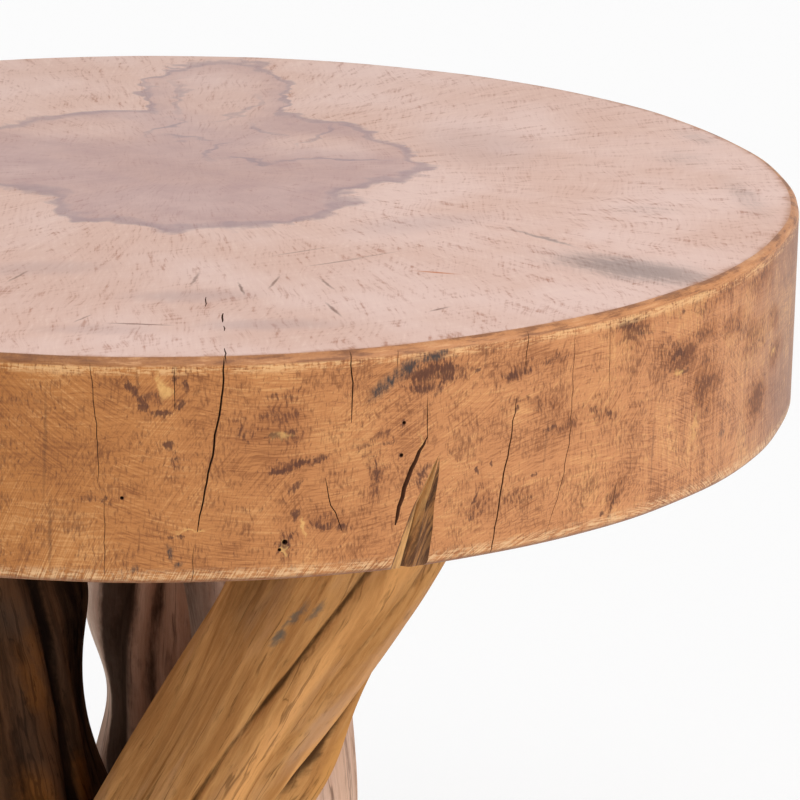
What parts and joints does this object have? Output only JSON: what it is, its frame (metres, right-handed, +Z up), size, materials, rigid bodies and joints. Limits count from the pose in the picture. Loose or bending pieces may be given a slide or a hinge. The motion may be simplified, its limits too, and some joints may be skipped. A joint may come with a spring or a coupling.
{
  "type": "side table",
  "caption": "Rustic side table: a thick round end-grain timber slab carried on crooked trunk legs that cross and twist together at a waist.",
  "frame": {"origin": "on the floor, straight under the centre of the slab", "axes": "+Z up, -Y towards the viewer of the picture, +X to the viewer's right"},
  "size_m": [0.46, 0.46, 0.5],
  "materials": {
    "slab_wood": "sanded end grain under a satin clear coat, honey brown rim and pinkish top",
    "trunk_wood": "debarked fluted trunk, brown with dark weathered streaks, thin satin coat",
    "dowel_wood": "plain turned wood",
    "zinc_steel": "zinc plated",
    "nylon": "dark brown nylon"
  },
  "bodies": {
    "root": {"slab_top": "slab_wood", "trunk_leg_front": "trunk_wood", "trunk_leg_right": "trunk_wood", "trunk_leg_back": "trunk_wood", "trunk_leg_left": "trunk_wood", "tenon_front": "dowel_wood", "tenon_right": "dowel_wood", "tenon_back": "dowel_wood", "tenon_left": "dowel_wood", "waist_bolt_front_right": "zinc_steel", "waist_nut_front_right": "zinc_steel", "waist_washers_front_right": "zinc_steel", "head_plug_front_right": "dowel_wood", "nut_plug_front_right": "dowel_wood", "waist_bolt_right_back": "zinc_steel", "waist_nut_right_back": "zinc_steel", "waist_washers_right_back": "zinc_steel", "head_plug_right_back": "dowel_wood", "nut_plug_right_back": "dowel_wood", "waist_bolt_back_left": "zinc_steel", "waist_nut_back_left": "zinc_steel", "waist_washers_back_left": "zinc_steel", "head_plug_back_left": "dowel_wood", "nut_plug_back_left": "dowel_wood", "waist_bolt_left_front": "zinc_steel", "waist_nut_left_front": "zinc_steel", "waist_washers_left_front": "zinc_steel", "head_plug_left_front": "dowel_wood", "nut_plug_left_front": "dowel_wood", "foot_glide_front": "nylon", "foot_glide_right": "nylon", "foot_glide_back": "nylon", "foot_glide_left": "nylon", "glide_nail_front": "zinc_steel", "glide_nail_right": "zinc_steel", "glide_nail_back": "zinc_steel", "glide_nail_left": "zinc_steel"}
  },
  "joints": []
}
